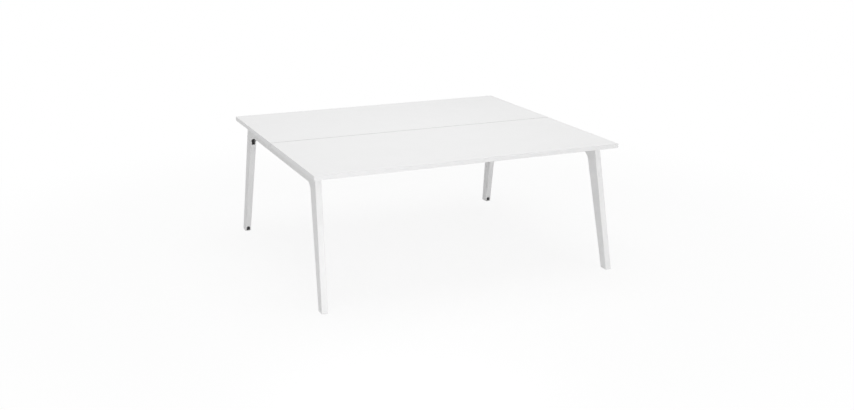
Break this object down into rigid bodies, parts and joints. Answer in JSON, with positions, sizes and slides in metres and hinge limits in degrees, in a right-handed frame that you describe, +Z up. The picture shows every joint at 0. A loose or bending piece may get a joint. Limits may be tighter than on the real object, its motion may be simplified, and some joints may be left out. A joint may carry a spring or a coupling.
{
  "type": "benching desk",
  "caption": "Face-to-face bench desk: paired white worktops on splayed, tapered hollow steel end frames, with keyhole cable entries and levelling feet.",
  "frame": {"origin": "on the floor, under the middle of the desk", "axes": "+Z up, +X along the seam between the worktops, -Y towards the front user"},
  "size_m": [1.8, 1.6222, 0.745],
  "materials": {
    "melamine": "satin white melamine on chipboard",
    "edging": "satin white edge band",
    "powder_coat": "fine-textured white powder coat on steel",
    "black_plastic": "moulded black plastic, light grain",
    "zinc": "bright zinc plate"
  },
  "bodies": {
    "desk": {"front_worktop": "melamine", "rear_worktop": "melamine", "front_edge_band_user": "edging", "front_edge_band_seam": "edging", "front_edge_band_left": "edging", "front_edge_band_right": "edging", "rear_edge_band_user": "edging", "rear_edge_band_seam": "edging", "rear_edge_band_left": "edging", "rear_edge_band_right": "edging", "front_left_leg": "powder_coat", "front_right_leg": "powder_coat", "rear_left_leg": "powder_coat", "rear_right_leg": "powder_coat", "left_crossbar": "powder_coat", "right_crossbar": "powder_coat", "front_beam": "powder_coat", "rear_beam": "powder_coat", "front_beam_left_bracket": "powder_coat", "front_beam_right_bracket": "powder_coat", "front_crossbar_left_bracket": "powder_coat", "front_crossbar_right_bracket": "powder_coat", "rear_beam_left_bracket": "powder_coat", "rear_beam_right_bracket": "powder_coat", "rear_crossbar_left_bracket": "powder_coat", "rear_crossbar_right_bracket": "powder_coat", "front_beam_left_screw": "zinc", "front_beam_right_screw": "zinc", "front_crossbar_left_screw": "zinc", "front_crossbar_right_screw": "zinc", "rear_beam_left_screw": "zinc", "rear_beam_right_screw": "zinc", "rear_crossbar_left_screw": "zinc", "rear_crossbar_right_screw": "zinc", "front_left_beam_bolt_user": "zinc", "front_left_beam_bolt_seam": "zinc", "front_right_beam_bolt_user": "zinc", "front_right_beam_bolt_seam": "zinc", "rear_left_beam_bolt_user": "zinc", "rear_left_beam_bolt_seam": "zinc", "rear_right_beam_bolt_user": "zinc", "rear_right_beam_bolt_seam": "zinc", "front_left_foot_insert": "black_plastic", "front_right_foot_insert": "black_plastic", "rear_left_foot_insert": "black_plastic", "rear_right_foot_insert": "black_plastic"},
    "front_left_pad": {"front_left_leveller_pad": "black_plastic"},
    "front_right_pad": {"front_right_leveller_pad": "black_plastic"},
    "rear_left_pad": {"rear_left_leveller_pad": "black_plastic"},
    "rear_right_pad": {"rear_right_leveller_pad": "black_plastic"},
    "front_left_stem": {"front_left_leveller_stem": "zinc"},
    "front_right_stem": {"front_right_leveller_stem": "zinc"},
    "rear_left_stem": {"rear_left_leveller_stem": "zinc"},
    "rear_right_stem": {"rear_right_leveller_stem": "zinc"}
  },
  "joints": [
    {"name": "front_left_level", "type": "slide", "parent": "desk", "child": "front_left_pad", "axis": [0, 0, -1], "range_m": [0, 0.015]},
    {"name": "front_right_level", "type": "slide", "parent": "desk", "child": "front_right_pad", "axis": [0, 0, -1], "range_m": [0, 0.015]},
    {"name": "rear_left_level", "type": "slide", "parent": "desk", "child": "rear_left_pad", "axis": [0, 0, -1], "range_m": [0, 0.015]},
    {"name": "rear_right_level", "type": "slide", "parent": "desk", "child": "rear_right_pad", "axis": [0, 0, -1], "range_m": [0, 0.015]},
    {"name": "front_left_thread", "type": "hinge", "parent": "front_left_pad", "child": "front_left_stem", "pos_m": [-0.86515, -0.79, 0.02], "axis": [0, 0, -1], "range_deg": [0, 4320]},
    {"name": "front_right_thread", "type": "hinge", "parent": "front_right_pad", "child": "front_right_stem", "pos_m": [0.86515, -0.79, 0.02], "axis": [0, 0, -1], "range_deg": [0, 4320]},
    {"name": "rear_left_thread", "type": "hinge", "parent": "rear_left_pad", "child": "rear_left_stem", "pos_m": [-0.86515, 0.79, 0.02], "axis": [0, 0, -1], "range_deg": [0, 4320]},
    {"name": "rear_right_thread", "type": "hinge", "parent": "rear_right_pad", "child": "rear_right_stem", "pos_m": [0.86515, 0.79, 0.02], "axis": [0, 0, -1], "range_deg": [0, 4320]}
  ],
  "couplings": [
    {"joint": "front_left_thread", "follows": "front_left_level", "rad_per_m": 5026.5},
    {"joint": "front_right_thread", "follows": "front_right_level", "rad_per_m": 5026.5},
    {"joint": "rear_left_thread", "follows": "rear_left_level", "rad_per_m": 5026.5},
    {"joint": "rear_right_thread", "follows": "rear_right_level", "rad_per_m": 5026.5}
  ]
}
